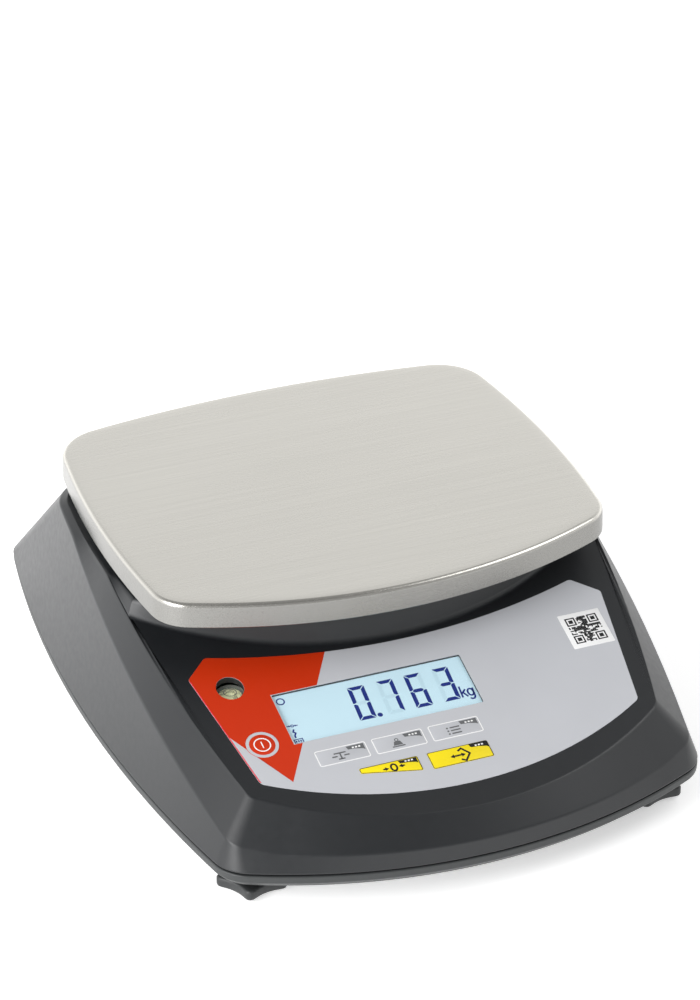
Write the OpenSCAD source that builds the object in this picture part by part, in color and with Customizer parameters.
// Bench scale with a lift-off stainless pan, a sloping keypad and four levelling feet.
// Millimetres, +Z up, -Y towards the user. The origin is on the floor, under the middle of the housing.

/* [Housing] */
// Width of the housing at the seam, over the bowed sides
body_w = 290.8; // [286:0.2:296]
// Distance from the floor to the underside of the tray
floor_gap = 13.4; // [13:0.1:15]
// Height of the seam between the tray and the cover
seam_z = 23; // [22:0.5:24]
// Height of the flat deck under the pan
deck_z = 98.8; // [97:0.2:99.4]
// Wall thickness of the two mouldings
wall = 3; // [2.6:0.1:3.2]

/* [Keypad panel] */
// Slope of the keypad panel
panel_tilt = 16.54; // [16:0.02:17]
// Width of the display window
window_w = 102; // [98:1:104]
// Height of the display window along the slope
window_h = 33; // [31:1:34]
// Travel of each key
key_travel = 0.4; // [0.2:0.1:0.4]

/* [Pan] */
// Height of the weighing surface above the floor
pan_z = 116.5; // [116:0.1:118]
// Depth of the folded edge of the pan
pan_skirt = 13.4; // [11:0.1:13.4]
// Thickness of the pan's sheet
pan_t = 1.2; // [1:0.1:1.5]

/* [Load cell] */
// Length of the load cell
cell_l = 130; // [126:1:134]
// Width of the load cell
cell_w = 30; // [28:1:34]
// Height of the load cell
cell_h = 22; // [22:1:24]
// Gap left by the overload stop
stop_gap = 0.5; // [0.4:0.1:1]

/* [Feet] */
// Sideways distance from the middle to a foot
foot_x = 107.6; // [104:0.2:109]
// Radius over the points of a foot's star knob
knob_r = 18; // [16:0.5:19]
// Radius of a foot's stud
stud_r = 4; // [3:0.5:4]

/* [Hidden] */
$fn = 64;

// A barrel outline: [front corner x, y, front bow, rear corner x, y, rear bow, side bow, front r, rear r]
half_w = body_w / 2;
SEAM = [half_w - 16.4, -157, 32, half_w - 18.4, 176, 13, 17.4, 22, 14];
CREASE = [half_w - 20.9, -152, 36.5, half_w - 21.4, 108, 5, 11.3, 12, 28];
SHOULDER = [half_w - 35.4, -141, 34.7, half_w - 23.9, 104, 5, 12, 9, 26];
DECK = [half_w - 16.9, -17, 46.5, half_w - 25.4, 102, 5, 3, 4, 24];
PAN = [122, -53.5, 29.3, 116.7, 121.7, 11, 7, 22.6, 28.3];
FOOT_OUTLINE = [half_w - 20.2, -152, 31.5, half_w - 21.2, 171, 12, 17, 20, 13];
front_n = 12;
corner_n = 5;
side_n = 14;
rear_n = 6;

// Heights along the slope: the panel's plane, and the crease that runs below it
panel_z0 = 95.9;
crease_z0 = 80.6;
crease_slope = 0.292;
crease_front_z = 32.5;
crease_rear_z = deck_z - 1.6;

// The panel's own plan: x across, v up the slope
lcd_x = -25.75;
lcd_v = -105.3;
film_t = 0.5;
film_n = -0.3;
key_gap = 0.3;
key_cap_t = 0.8;
key_top_n = 0.3;
stem_r = 2;
stem_end_n = -6.5;
board_n = -13;
board_t = 1.6;
POWER = [-92.4, -117.9];
power_r = 8.4;
key_row_v = -134.4;
small_key = [25.9, 9];
UNIT = [-56.1, key_row_v];
GROSS = [-25.75, key_row_v];
MEMORY = [4.6, key_row_v];
tare_size = [32.5, 10.6];
TARE = [0.5, -150.8];
ZERO_CORNERS = [[-51.9, -145.6], [-20.9, -145.6], [-20.9, -155.1], [-51.9, -148.9]];
ZERO = [-34, -149.8];
LEVEL = [-94.9, -78.7];
level_r = 7.1;
LABEL = [95.4, -90.2];
label_size = [22.8, 23.2];
BOARD_X = [-103, 41];
BOARD_V = [-158, -93];

// Film outline on the panel
film_top_corner = [100.5, -56.3];
film_top_bow = 14.7;
film_shoulder = [113.2, -68];
film_low_corner = [102, -141.4];
film_low_bow = 27.5;

// The load path, from the floor up
tray_floor_z = floor_gap + wall;
plate_z = tray_floor_z + 0.2;
plate_t = 3;
cell_z = 42;
cell_y = 25;
cell_front_y = cell_y - cell_l / 2;
cell_rear_y = cell_y + cell_l / 2;
block_l = 32;
platform_z = deck_z + 3.5;
platform_t = 4;
cushion_r = 9;
CUSHIONS = [[88, -30], [-88, -30], [88, 88], [-88, 88]];
CELL_SCREWS = [[8, 8], [-8, 8], [8, 24], [-8, 24]];
deck_hole_r = 27;

FEET = [[-foot_x, -137.9], [foot_x, -137.9], [-foot_x, 141], [foot_x, 141]];
knob_low_z = 1.6;
knob_top_z = 7.4;
hub_top_z = 11;
stud_top_z = 32;
insert_top_z = 27;
insert_r = 6.5;
run_gap = 0.06;

HOUSING_SCREWS = [[110, -112], [-110, -112], [120, -28], [-120, -28], [46, 152], [-46, 152]];
BASE_SCREWS = [[38, -55], [-38, -55], [38, 105], [-38, 105]];
BOARD_SCREWS = [[-98, -98.5], [36, -98.5], [-98, -151], [36, -151]];
MAIN_BOARD = [-88, 25, 24];
MAIN_SCREWS = [[-113, -10], [-63, -10], [-113, 60], [-63, 60]];
BATTERY = [50, 5, tray_floor_z + 0.6];
battery_size = [70, 102, 47];
door_size = [76, 112];
door_x = BATTERY[0] + battery_size[0] / 2;
door_y = BATTERY[1] + battery_size[1] / 2;
inlet_x = -70;
inlet_z = 33;
inlet_y = 164;
inlet_bore_r = 3.1;
door_screw_in = 11;

// Circle through p and q that bows by s to the right of the way from p to q
function bow_circle(p, q, s) =
  let (l = norm(q - p), r = (l * l / 4 + s * s) / (2 * s), u = (q - p) / l)
  [(p + q) / 2 + [u[1], -u[0]] * (s - r), r];

// Centre of a fillet of radius r that lies inside circles a and b, near a point
function fillet_centre(a, b, r, near) =
  let (
    ra = a[1] - r, rb = b[1] - r, d = norm(b[0] - a[0]), e = (b[0] - a[0]) / d,
    l = (ra * ra - rb * rb + d * d) / (2 * d), h = sqrt(max(ra * ra - l * l, 0)),
    foot = a[0] + e * l, side = [-e[1], e[0]] * h
  )
  norm(foot + side - near) < norm(foot - side - near) ? foot + side : foot - side;

function heading(c, p) = atan2(p[1] - c[1], p[0] - c[0]);
function turn(a0, a1) = let (d = (a1 - a0 + 540) % 360 - 180) d;
function arc(c, r, a0, a1, n) =
  [for (i = [0:n]) c + r * [cos(a0 + turn(a0, a1) * i / n), sin(a0 + turn(a0, a1) * i / n)]];
function tail(list) = [for (i = [1:len(list) - 1]) list[i]];

// Right half of a barrel outline from the front middle to the rear middle, moved in by d
function half_outline(s, d = 0) =
  let (
    f = [s[0], s[1]], b = [s[3], s[4]],
    front = bow_circle([-f[0], f[1]], f, s[2]),
    side = bow_circle(f, b, s[6]),
    rear = bow_circle(b, [-b[0], b[1]], s[5]),
    cf = fillet_centre(front, side, s[7], f + [-s[7], s[7]]),
    cb = fillet_centre(side, rear, s[8], b - [s[8], s[8]])
  )
  concat(
    arc(front[0], front[1] - d, -90, heading(front[0], cf), front_n),
    tail(arc(cf, s[7] - d, heading(front[0], cf), heading(side[0], cf), corner_n)),
    tail(arc(side[0], side[1] - d, heading(side[0], cf), heading(side[0], cb), side_n)),
    tail(arc(cb, s[8] - d, heading(side[0], cb), heading(rear[0], cb), corner_n)),
    tail(arc(rear[0], rear[1] - d, heading(rear[0], cb), 90, rear_n))
  );

// Whole outline: the right half, then its mirror image back to the front
function outline(s, d = 0) =
  let (h = half_outline(s, d), m = len(h) - 1)
  concat(h, [for (i = [1:m - 1]) [-h[m - i][0], h[m - i][1]]]);

function crease_height(y, drop) =
  min(crease_rear_z, max(crease_front_z, crease_z0 + crease_slope * y)) - drop;
function panel_height(y, drop) = min(deck_z, panel_z0 + tan(panel_tilt) * y) - drop;

// Polygon from [x, y, radius] corners
function round_corner(a, b, c, r, n) =
  let (
    u = (a - b) / norm(a - b), w = (c - b) / norm(c - b), half = acos(u * w) / 2,
    o = b + (u + w) / norm(u + w) * r / sin(half), p = b + u * r / tan(half), q = b + w * r / tan(half)
  )
  arc(o, r, heading(o, p), heading(o, q), n);
function flat_point(p) = [p[0], p[1]];
function rounded(path, n = 5) =
  let (m = len(path))
  [for (i = [0:m - 1])
    let (a = path[(i + m - 1) % m], b = path[i], c = path[(i + 1) % m])
    each (b[2] == 0 ? [flat_point(b)] : round_corner(flat_point(a), flat_point(b), flat_point(c), b[2], n))];
function slab(size, r) =
  let (x = size[0] / 2, y = size[1] / 2) [[x, -y, r], [x, y, r], [-x, y, r], [-x, -y, r]];

// Half outline of the keypad film, from the top middle clockwise to the lower middle
function film_half(d) =
  let (
    t = film_top_corner, w = film_shoulder, l = film_low_corner,
    top = bow_circle([-t[0], t[1]], t, film_top_bow),
    low = bow_circle([-l[0], l[1]], l, film_low_bow)
  )
  concat(
    [for (p = arc(top[0], top[1] + d, -90, heading(top[0], t), 8)) if (p[0] < t[0] - 9) [p[0], p[1], 0]],
    [[t[0], t[1] - d, 5], [w[0] - d, w[1] - d / 2, 6], [l[0] - d, l[1] + d, 6]],
    [for (p = arc(low[0], low[1] - d, heading(low[0], l), -90, 10)) if (p[0] < l[0] - 9) [p[0], p[1], 0]]
  );
function film_outline(d = 0) =
  let (h = film_half(d), m = len(h) - 1)
  rounded(concat(h, [for (i = [1:m - 1]) [-h[m - i][0], h[m - i][1], h[m - i][2]]]));

// A closed loft between rings that all come from outline(); each cap is made of level strips
module loft(rings) {
  n = len(rings[0]);
  m = n / 2;
  last = n * (len(rings) - 1);
  function across(i) = (n - i) % n;
  polyhedron(
    points = [for (r = rings) each r],
    faces = concat(
      [for (k = [0:len(rings) - 2]) for (i = [0:n - 1])
        each [[k * n + i, (k + 1) * n + i, k * n + (i + 1) % n],
              [k * n + (i + 1) % n, (k + 1) * n + i, (k + 1) * n + (i + 1) % n]]],
      [for (i = [0:m - 1]) if (i > 0) [i, i + 1, across(i)]],
      [for (i = [0:m - 1]) if (i < m - 1) [i + 1, across(i + 1), across(i)]],
      [for (i = [0:m - 1]) if (i > 0) [last + i, last + across(i), last + i + 1]],
      [for (i = [0:m - 1]) if (i < m - 1) [last + i + 1, last + across(i), last + across(i + 1)]]
    )
  );
}

function level_ring(s, d, z) = [for (p = outline(s, d)) [p[0], p[1], z]];
function crease_ring(d, drop) = [for (p = outline(CREASE, d)) [p[0], p[1], crease_height(p[1], drop)]];
function shoulder_ring(d, drop) = [for (p = outline(SHOULDER, d)) [p[0], p[1], panel_height(p[1], drop)]];

module on_panel() {
  translate([0, 0, panel_z0])
    rotate([panel_tilt, 0, 0])
      children();
}

// A flat plate on the panel, from height n up by t
module panel_plate(points, n, t) {
  on_panel()
    translate([0, 0, n])
      linear_extrude(height = t)
        polygon(points);
}

module rod(at, r, z0, z1) {
  translate([at[0], at[1], z0])
    cylinder(r = r, h = z1 - z0);
}

module panel_rod(at, r, n0, n1) {
  on_panel()
    rod(at, r, n0, n1);
}

function placed(points, at) = [for (p = points) p + at];
function key_points(size, at, d = 0) = placed(rounded(slab([size[0] + 2 * d, size[1] + 2 * d], 1)), at);
function zero_points(d = 0) =
  let (c = ZERO_CORNERS)
  rounded([
    [c[0][0] - d, c[0][1] + d, 0.8], [c[1][0] + d, c[1][1] + d, 0.8],
    [c[2][0] + d, c[2][1] - d, 0.8], [c[3][0] - d, c[3][1] - d, 0.8]
  ]);
function disc_points(at, r) = [for (i = [0:47]) at + r * [cos(i * 7.5), sin(i * 7.5)]];
function window_points(d) = placed(rounded(slab([window_w + 2 * d, window_h + 2 * d], 0.8 + max(d, 0))), [lcd_x, lcd_v]);

// Everything that the keypad needs cut out of the film or the cover, grown by d
module key_shapes(d, n, t) {
  panel_plate(disc_points(POWER, power_r + d), n, t);
  for (at = [UNIT, GROSS, MEMORY])
    panel_plate(key_points(small_key, at, d), n, t);
  panel_plate(zero_points(d), n, t);
  panel_plate(key_points(tare_size, TARE, d), n, t);
}

module pan() {
  color([0.82, 0.81, 0.78])
    difference() {
      translate([0, 0, pan_z - pan_skirt])
        linear_extrude(height = pan_skirt)
          polygon(outline(PAN));
      translate([0, 0, pan_z - pan_skirt - 1])
        linear_extrude(height = pan_skirt + 1 - pan_t)
          polygon(outline(PAN, pan_t));
    }
}

module pan_cushions() {
  color([0.1, 0.1, 0.1])
    for (at = CUSHIONS)
      rod(at, cushion_r, platform_z + platform_t, pan_z - pan_t - 0.05);
}

module platform_rib(at) {
  hub = [0, cell_y];
  translate([hub[0], hub[1], platform_z])
    rotate([0, 0, heading(hub, at)])
      translate([44, -1.5, platform_t - 0.5])
        cube([norm(at - hub) - 60, 3, 5.5]);
}

module platform_outline() {
  hub = [0, cell_y];
  translate([-34, cell_front_y - 4])
    square([68, 110]);
  for (at = CUSHIONS) {
    translate(hub)
      rotate(heading(hub, at))
        translate([0, -11])
          square([norm(at - hub), 22]);
    translate(at)
      circle(r = cushion_r + 3);
  }
}

module platform() {
  color([0.7, 0.71, 0.72])
    difference() {
      union() {
        translate([0, 0, platform_z])
          linear_extrude(platform_t)
            platform_outline();
        for (at = CUSHIONS)
          platform_rib(at);
      }
      for (s = CELL_SCREWS) {
        at = [s[0], cell_front_y + s[1]];
        rod(at, 3.2, platform_z - 1, platform_z + platform_t + 1);
        rod(at, 5.4, platform_z + 1, platform_z + platform_t + 6);
      }
    }
}

module platform_screws() {
  color([0.35, 0.35, 0.36])
    for (s = CELL_SCREWS) {
      at = [s[0], cell_front_y + s[1]];
      difference() {
        union() {
          rod(at, 3, cell_z + 8, platform_z + 1);
          rod(at, 5, platform_z + 1, platform_z + 6);
        }
        translate([at[0], at[1], platform_z + 3])
          cylinder(r = 2.9, h = 4, $fn = 6);
      }
    }
}

module cell_spacer() {
  color([0.72, 0.73, 0.74])
    difference() {
      translate([-cell_w / 2, cell_front_y, cell_z + cell_h])
        cube([cell_w, block_l, platform_z - cell_z - cell_h]);
      for (s = CELL_SCREWS)
        rod([s[0], cell_front_y + s[1]], 3.2, cell_z, platform_z + 1);
    }
}

module load_cell() {
  window_gap = 24;
  color([0.77, 0.78, 0.8])
    difference() {
      translate([-cell_w / 2, cell_front_y, cell_z])
        cube([cell_w, cell_l, cell_h]);
      for (side = [-1, 1])
        translate([-cell_w, cell_y + side * window_gap / 2, cell_z + cell_h / 2])
          rotate([0, 90, 0])
            cylinder(r = 8, h = 2 * cell_w);
      translate([-cell_w, cell_y - window_gap / 2, cell_z + cell_h / 2 - 3])
        cube([2 * cell_w, window_gap, 6]);
      for (s = CELL_SCREWS) {
        rod([s[0], cell_front_y + s[1]], 3.2, cell_z + 7, cell_z + cell_h + 1);
        rod([s[0], cell_rear_y - s[1]], 3.2, cell_z - 1, cell_z + cell_h - 7);
      }
    }
}

module cell_pedestal() {
  color([0.72, 0.73, 0.74])
    difference() {
      translate([-cell_w / 2, cell_rear_y - block_l, plate_z + plate_t])
        cube([cell_w, block_l, cell_z - plate_z - plate_t]);
      for (s = CELL_SCREWS)
        rod([s[0], cell_rear_y - s[1]], 3.2, plate_z, cell_z + 1);
    }
}

module cell_base_screws() {
  color([0.35, 0.35, 0.36])
    for (s = CELL_SCREWS) {
      at = [s[0], cell_rear_y - s[1]];
      rod(at, 3, plate_z + 2, cell_z + cell_h - 8);
      rod(at, 5, plate_z, plate_z + 2);
    }
}

module overload_stop() {
  at = [0, cell_front_y + block_l / 2];
  color([0.5, 0.5, 0.52]) {
    rod(at, 4, plate_z, cell_z - stop_gap);
    translate([at[0], at[1], plate_z + plate_t])
      cylinder(r = 7.5, h = 6.5, $fn = 6);
  }
}

module base_plate() {
  color([0.6, 0.61, 0.62])
    difference() {
      translate([-45, -62, plate_z])
        cube([90, 174, plate_t]);
      for (s = CELL_SCREWS) {
        rod([s[0], cell_rear_y - s[1]], 3.2, plate_z - 1, plate_z + plate_t + 1);
        rod([s[0], cell_rear_y - s[1]], 5.3, plate_z - 1, plate_z + 2);
      }
      rod([0, cell_front_y + block_l / 2], 4, plate_z - 1, plate_z + plate_t + 1);
      for (at = BASE_SCREWS)
        rod(at, 2.2, plate_z - 1, plate_z + plate_t + 1);
    }
}

module base_plate_screws() {
  color([0.72, 0.73, 0.74])
    for (at = BASE_SCREWS) {
      rod(at, 2, tray_floor_z - 1.6, plate_z + plate_t);
      rod(at, 4, plate_z + plate_t, plate_z + plate_t + 2.4);
    }
}

module deck_block(d, z0, z1) {
  translate([0, 0, z0])
    linear_extrude(height = z1 - z0)
      intersection() {
        polygon(outline(DECK, d));
        polygon(outline(SHOULDER, d + 0.6));
      }
}

module cover_boss(at, roof) {
  difference() {
    rod(at, 4.8, seam_z + 3, roof);
    rod(at, 1.6, seam_z, seam_z + 16);
  }
}

module top_cover() {
  color([0.19, 0.2, 0.21])
    difference() {
      union() {
        difference() {
          union() {
            loft([level_ring(SEAM, 0, seam_z + 0.2), crease_ring(0, 0), shoulder_ring(0, 0)]);
            deck_block(0, panel_z0 - 22, deck_z);
          }
          loft([level_ring(SEAM, wall, seam_z - 1), level_ring(SEAM, wall, seam_z + 0.2),
                crease_ring(wall, wall), shoulder_ring(wall - 0.4, wall)]);
          deck_block(wall, panel_z0 - 26, deck_z - wall);
        }
        for (at = HOUSING_SCREWS)
          cover_boss(at, at[1] > 100 ? 52 : panel_height(at[1], wall - 0.5));
        for (at = BOARD_SCREWS)
          panel_rod(at, 3, board_n + board_t, -wall + 0.5);
        rod([0, cell_front_y + block_l / 2], deck_hole_r + 2.5, deck_z - wall, deck_z + 1.6);
      }
      rod([0, cell_front_y + block_l / 2], deck_hole_r, deck_z - wall - 1, deck_z + 3);
      panel_plate(film_outline(-key_gap), film_n, 10);
      panel_plate(window_points(0.2), -1.3, 10);
      panel_plate(window_points(-2.5), -20, 30);
      key_shapes(0.5, -key_cap_t - key_travel, 10);
      for (at = [POWER, UNIT, GROSS, MEMORY, ZERO, TARE])
        panel_rod(at, stem_r + 0.6, -wall - 3, 0);
      for (at = BOARD_SCREWS)
        panel_rod(at, 1.2, board_n, -wall - 1);
      level_bore(level_r + 0.3);
      translate([inlet_x, inlet_y, inlet_z])
        rotate([-90, 0, 0])
          cylinder(r = 6.1, h = 30);
    }
}

// The level sits upright in a vertical bore through the sloping panel
function level_place() = [LEVEL[0], LEVEL[1] * cos(panel_tilt)];
level_top_z = panel_height(level_place()[1], 2.4);
module level_bore(r) {
  rod(level_place(), r, level_top_z - 14, level_top_z + 20);
}

module level_vial() {
  color([0.86, 0.9, 0.86, 0.6])
    difference() {
      rod(level_place(), level_r - 0.1, level_top_z - 9, level_top_z);
      rod(level_place(), level_r - 1.3, level_top_z - 8, level_top_z - 1.4);
    }
}

module level_liquid() {
  color([0.75, 0.82, 0.3])
    difference() {
      rod(level_place(), level_r - 1.3, level_top_z - 8, level_top_z - 1.4);
      translate([level_place()[0], level_place()[1], level_top_z - 1.4])
        sphere(r = 2.2);
    }
}

module level_cup() {
  at = level_place();
  color([0.16, 0.16, 0.17])
    difference() {
      rod(at, level_r + 2.2, level_top_z - 11.5, level_top_z - 5.5);
      rod(at, level_r, level_top_z - 9, level_top_z);
      rod(at, 2.2, level_top_z - 13, level_top_z);
    }
}

module tray_pocket(d, z0, z1) {
  translate([door_x - door_size[0] / 2 - d, door_y - door_size[1] / 2 - d, z0])
    cube([door_size[0] + 2 * d, door_size[1] + 2 * d, z1 - z0]);
}

module bottom_tray() {
  color([0.15, 0.16, 0.17])
    difference() {
      union() {
        difference() {
          union() {
            loft([level_ring(FOOT_OUTLINE, 0, floor_gap), level_ring(FOOT_OUTLINE, -1.2, floor_gap + 1.2),
                  level_ring(SEAM, 0.4, seam_z - 3), level_ring(SEAM, 0.4, seam_z)]);
            translate([0, 0, seam_z - 1])
              linear_extrude(height = 2.6)
                polygon(outline(SEAM, wall + 2));
          }
          translate([0, 0, tray_floor_z])
            linear_extrude(height = 20)
              polygon(outline(FOOT_OUTLINE, wall + 2));
        }
        for (at = FEET)
          rod(at, insert_r + 3, floor_gap + 1, insert_top_z - 1);
        for (at = HOUSING_SCREWS)
          rod(at, 5.5, floor_gap + 1, seam_z + 2.8);
        for (at = MAIN_SCREWS)
          rod(at, 3.5, floor_gap + 1, MAIN_BOARD[2]);
      }
      for (at = FEET)
        rod(at, insert_r, floor_gap - 1, insert_top_z + 1);
      for (at = HOUSING_SCREWS) {
        rod(at, 1.9, floor_gap - 1, seam_z + 4);
        rod(at, 4, floor_gap - 1, floor_gap + 4);
      }
      for (at = MAIN_SCREWS)
        rod(at, 1.3, tray_floor_z, MAIN_BOARD[2] + 1);
      for (at = BASE_SCREWS)
        rod(at, 2, tray_floor_z - 1.6, tray_floor_z + 1);
      tray_pocket(0.3, floor_gap - 1, floor_gap + 1.7);
      tray_pocket(-4, floor_gap, tray_floor_z + 1);
    }
}

module housing_screws() {
  color([0.3, 0.3, 0.31])
    for (at = HOUSING_SCREWS)
      difference() {
        union() {
          rod(at, 1.6, floor_gap + 3, seam_z + 12);
          rod(at, 3.4, floor_gap + 1.6, floor_gap + 4);
        }
        for (a = [0, 90])
          translate([at[0], at[1], floor_gap + 1.4])
            rotate([0, 0, a])
              translate([-1.8, -0.4, 0])
                cube([3.6, 0.8, 1.4]);
      }
}

module panel_overlay() {
  color([0.75, 0.76, 0.78])
    difference() {
      panel_plate(film_outline(), film_n, film_t);
      panel_plate(window_points(0.15), film_n - 1, 3);
      key_shapes(key_gap, film_n - 1, 3);
      level_bore(level_r);
    }
}

module display_window() {
  color([0.8, 0.88, 0.92, 0.5])
    panel_plate(window_points(0), -1.2, 1.3);
}

module lcd_frame() {
  color([0.12, 0.12, 0.13])
    difference() {
      panel_plate(window_points(5), -9.6, 6.4);
      panel_plate(window_points(-1.5), -12, 12);
      panel_plate(window_points(2.1), -12, 8.2);
    }
}

module lcd_glass() {
  color([0.78, 0.89, 0.94])
    panel_plate(window_points(2), -6.6, 2.7);
}

module lcd_backlight() {
  color([0.93, 0.95, 0.97])
    panel_plate(window_points(1.9), -9.6, 2.9);
}

module display_board() {
  mid = [(BOARD_X[0] + BOARD_X[1]) / 2, (BOARD_V[0] + BOARD_V[1]) / 2];
  size = [BOARD_X[1] - BOARD_X[0], BOARD_V[1] - BOARD_V[0]];
  color([0.1, 0.35, 0.2])
    difference() {
      panel_plate(placed(rounded(slab(size, 2)), mid), board_n, board_t);
      for (at = BOARD_SCREWS)
        panel_rod(at, 1.5, board_n - 1, board_n + 3);
    }
}

module display_board_screws() {
  color([0.72, 0.73, 0.74])
    for (at = BOARD_SCREWS) {
      panel_rod(at, 1.2, board_n, board_n + 7);
      panel_rod(at, 2.6, board_n - 1.8, board_n);
    }
}

module key_switches() {
  color([0.2, 0.2, 0.2])
    for (at = [POWER, UNIT, GROSS, MEMORY, ZERO, TARE]) {
      panel_plate(placed(rounded(slab([6, 6], 0.5)), at), board_n + board_t, 3.4);
      panel_rod(at, 1.7, board_n + board_t + 3.4, stem_end_n - key_travel - 0.15);
    }
}

module key(points, stem) {
  panel_plate(points, key_top_n - key_cap_t, key_cap_t);
  panel_rod(stem, stem_r, stem_end_n, key_top_n - key_cap_t);
}

module power_key() {
  color([0.9, 0.9, 0.9])
    key(disc_points(POWER, power_r), POWER);
}
module unit_key() {
  color([0.66, 0.67, 0.69])
    key(key_points(small_key, UNIT), UNIT);
}
module gross_key() {
  color([0.66, 0.67, 0.69])
    key(key_points(small_key, GROSS), GROSS);
}
module memory_key() {
  color([0.66, 0.67, 0.69])
    key(key_points(small_key, MEMORY), MEMORY);
}
module zero_key() {
  color([0.95, 0.8, 0.1])
    key(zero_points(), ZERO);
}
module tare_key() {
  color([0.95, 0.8, 0.1])
    key(key_points(tare_size, TARE), TARE);
}

module code_label() {
  color([0.95, 0.95, 0.95])
    panel_plate(placed(rounded(slab(label_size, 0.8)), LABEL), film_n + film_t, 0.15);
}

module main_board() {
  color([0.1, 0.35, 0.2])
    difference() {
      translate([MAIN_BOARD[0] - 30, MAIN_BOARD[1] - 40, MAIN_BOARD[2]])
        cube([60, 80, 1.6]);
      for (at = MAIN_SCREWS)
        rod(at, 1.6, MAIN_BOARD[2] - 1, MAIN_BOARD[2] + 3);
    }
}

// Chips, connectors and capacitors: [x, y, width, depth, height] from the board's middle
MAIN_PARTS = [[-6, 8, 14, 14, 2], [14, 20, 10, 7, 2.4], [20, -6, 8, 16, 7], [-17, -28, 12, 8, 6], [-14, 30, 16, 8, 8]];
module main_board_parts() {
  z = MAIN_BOARD[2] + 1.6;
  color([0.12, 0.12, 0.13])
    for (p = MAIN_PARTS)
      translate([MAIN_BOARD[0] + p[0] - p[2] / 2, MAIN_BOARD[1] + p[1] - p[3] / 2, z])
        cube([p[2], p[3], p[4]]);
  color([0.2, 0.25, 0.5])
    for (y = [-22, -8])
      rod([MAIN_BOARD[0] + 4, MAIN_BOARD[1] + y], 4, z, z + 11);
}

module main_board_screws() {
  color([0.72, 0.73, 0.74])
    for (at = MAIN_SCREWS) {
      rod(at, 1.3, MAIN_BOARD[2] - 5, MAIN_BOARD[2] + 1.6);
      rod(at, 2.8, MAIN_BOARD[2] + 1.6, MAIN_BOARD[2] + 3.6);
    }
}

// Direction of a route at point i, as the mean of the stretches beside it
function unit(v) = v / norm(v);
function way(route, i) =
  unit((i > 0 ? unit(route[i] - route[i - 1]) : 0 * route[0])
       + (i < len(route) - 1 ? unit(route[i + 1] - route[i]) : 0 * route[0]));

// A flat cable that rises from the main board to the back of the display board
ribbon_x = MAIN_BOARD[0] - 20;
ribbon_w = 10;
ribbon_t = 0.8;
RIBBON_ROUTE = [[-6, 32], [-8, 38], [-25, 44], [-60, 49], [-85, 49], [-97, 50.5], [-100, 53]];
module ribbon_cable() {
  last = len(RIBBON_ROUTE) - 1;
  back = [for (i = [last:-1:0]) let (w = way(RIBBON_ROUTE, i)) RIBBON_ROUTE[i] + ribbon_t * [w[1], -w[0]]];
  color([0.75, 0.75, 0.76])
    translate([ribbon_x - ribbon_w / 2, 0, 0])
      rotate([90, 0, 90])
        linear_extrude(height = ribbon_w)
          polygon(concat(RIBBON_ROUTE, back));
}

// A round cable swept along a route, with eight sides
module cable(route, r) {
  sides = 8;
  last = len(route) - 1;
  points = [for (i = [0:last])
    let (w = way(route, i), a = unit(cross(w, [0.2, 0.3, 1])), b = cross(w, a))
    for (k = [0:sides - 1]) route[i] + r * (a * cos(k * 360 / sides) + b * sin(k * 360 / sides))];
  polyhedron(
    points = points,
    faces = concat(
      [[for (k = [sides - 1:-1:0]) k]],
      [[for (k = [0:sides - 1]) last * sides + k]],
      [for (i = [0:last - 1]) for (k = [0:sides - 1])
        let (j = (k + 1) % sides)
        each [[i * sides + k, i * sides + j, (i + 1) * sides + k],
              [i * sides + j, (i + 1) * sides + j, (i + 1) * sides + k]]]
    )
  );
}

LEAD_ROUTE = [[-cell_w / 2, 25, 50], [-20, 25, 50], [-27, 25, 48], [-34, 24, 43], [-42, 22, 38], [-52, 20, 35], [-60, 19, 33],
              [-66, 19, 31]];
module load_cell_lead() {
  color([0.12, 0.12, 0.13])
    cable(LEAD_ROUTE, 1.8);
}

module battery() {
  color([0.2, 0.22, 0.26]) {
    translate(BATTERY)
      cube(battery_size);
    for (x = [12, 58])
      translate([BATTERY[0] + x - 3, BATTERY[1] - 6, BATTERY[2] + 34])
        cube([6, 6, 1]);
  }
}

module battery_strap() {
  x0 = BATTERY[0] - 0.3;
  x1 = BATTERY[0] + battery_size[0] + 0.3;
  top = BATTERY[2] + battery_size[2] + 0.3;
  color([0.62, 0.63, 0.64])
    translate([0, door_y + 8, 0]) {
      translate([x0 - 1.5, 0, top])
        cube([x1 - x0 + 3, 16, 1.5]);
      for (x = [x0 - 1.5, x1])
        translate([x, 0, tray_floor_z])
          cube([1.5, 16, top - tray_floor_z]);
    }
}

BATTERY_LEAD = [[62, -1, 52], [61, -8, 52], [56, -20, 49], [44, -36, 41], [22, -52, 31], [-10, -57, 27], [-45, -48, 27],
                [-72, -36, 30], [-92, -24, 33], [-106, -14, 32], [-108, -9, 31], [-108, -5.5, 31]];
module battery_lead() {
  color([0.6, 0.1, 0.08])
    cable(BATTERY_LEAD, 1.3);
}

module battery_door() {
  color([0.15, 0.16, 0.17])
    difference() {
      union() {
        translate([door_x - door_size[0] / 2, door_y - door_size[1] / 2, floor_gap])
          cube([door_size[0], door_size[1], 1.6]);
        rod([door_x, door_y - door_size[1] / 2 + door_screw_in], 5, floor_gap, floor_gap + 2.8);
      }
      rod([door_x, door_y - door_size[1] / 2 + door_screw_in], 1.7, floor_gap - 1, floor_gap + 4);
      for (i = [-2:2])
        translate([door_x - 12, door_y + 40 + i * 3, floor_gap - 0.1])
          cube([24, 1.4, 0.7]);
    }
}

module battery_door_screw() {
  at = [door_x, door_y - door_size[1] / 2 + door_screw_in];
  color([0.3, 0.3, 0.31]) {
    rod(at, 1.5, floor_gap - 0.2, floor_gap + 3.4);
    rod(at, 2.9, floor_gap - 1.8, floor_gap - 0.2);
  }
}

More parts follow.
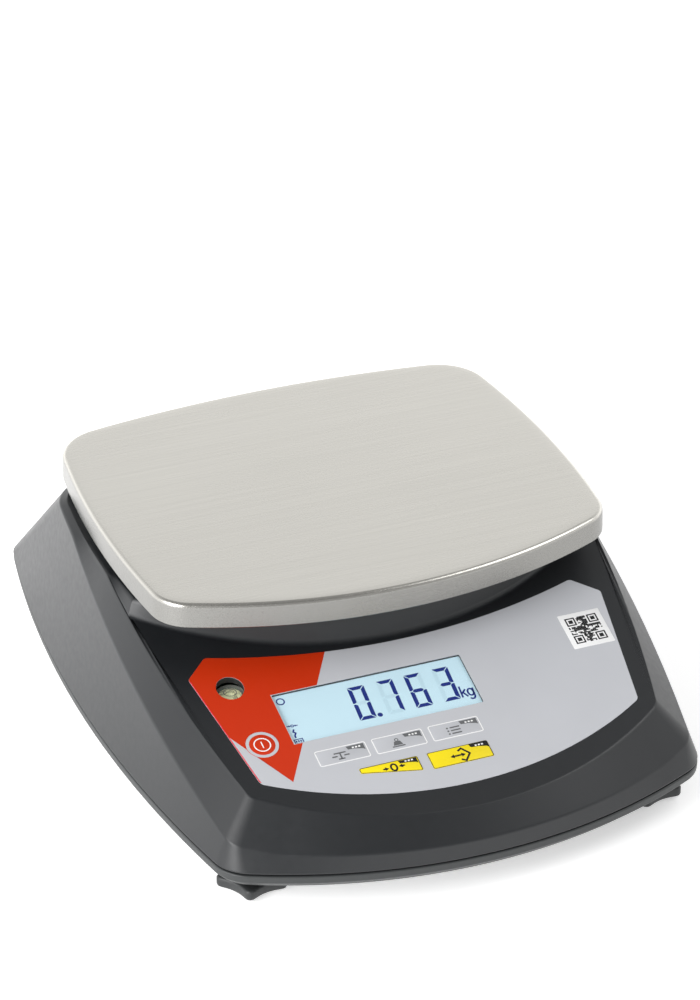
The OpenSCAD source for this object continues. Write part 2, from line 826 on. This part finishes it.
module dc_inlet() {
  color([0.08, 0.08, 0.09])
    translate([inlet_x, inlet_y - 12, inlet_z])
      rotate([-90, 0, 0]) {
        difference() {
          union() {
            cylinder(r = 6, h = 17);
            cylinder(r = 7.5, h = 8);
          }
          translate([0, 0, 6])
            cylinder(r = inlet_bore_r, h = 20);
        }
      }
}

module foot_inserts() {
  color([0.72, 0.58, 0.3])
    for (at = FEET)
      difference() {
        rod(at, insert_r, floor_gap, insert_top_z);
        rod(at, stud_r + run_gap, floor_gap - 1, insert_top_z + 1);
      }
}

// Star knob with five points and hollow sides, its hub moulded round the stud
module knob(at) {
  points = 5;
  color([0.08, 0.08, 0.09])
    difference() {
      union() {
        difference() {
          rod(at, knob_r, knob_low_z, knob_top_z);
          for (i = [0:points - 1])
            rod(at + 31.5 * [cos(i * 360 / points + 64.5), sin(i * 360 / points + 64.5)], 19,
                knob_low_z - 1, knob_top_z + 1);
        }
        rod(at, 7.5, knob_top_z - 1, hub_top_z);
      }
      rod(at, stud_r, knob_low_z + 4, hub_top_z + 1);
      rod(at, 3 + run_gap, knob_low_z - 1, knob_low_z + 4.2);
    }
}

module stud(at) {
  color([0.72, 0.73, 0.74])
    rod(at, stud_r, knob_low_z + 4.2, stud_top_z);
}

// Rubber pad whose stem turns inside the knob
module pad(at) {
  color([0.05, 0.05, 0.05]) {
    rod(at, 11, 0, knob_low_z - 0.3);
    rod(at, 3, knob_low_z - 0.3, knob_low_z + 3.8);
  }
}

pan();
pan_cushions();
platform();
platform_screws();
cell_spacer();
load_cell();
cell_pedestal();
cell_base_screws();
overload_stop();
base_plate();
base_plate_screws();
top_cover();
bottom_tray();
housing_screws();
panel_overlay();
display_window();
lcd_frame();
lcd_glass();
lcd_backlight();
display_board();
display_board_screws();
key_switches();
power_key();
unit_key();
gross_key();
memory_key();
zero_key();
tare_key();
level_vial();
level_liquid();
level_cup();
code_label();
main_board();
main_board_parts();
main_board_screws();
ribbon_cable();
load_cell_lead();
battery();
battery_strap();
battery_lead();
battery_door();
battery_door_screw();
dc_inlet();
foot_inserts();
knob(FEET[0]);  // front_left_knob
stud(FEET[0]);  // front_left_stud
pad(FEET[0]);  // front_left_pad
knob(FEET[1]);  // front_right_knob
stud(FEET[1]);  // front_right_stud
pad(FEET[1]);  // front_right_pad
knob(FEET[2]);  // rear_left_knob
stud(FEET[2]);  // rear_left_stud
pad(FEET[2]);  // rear_left_pad
knob(FEET[3]);  // rear_right_knob
stud(FEET[3]);  // rear_right_stud
pad(FEET[3]);  // rear_right_pad
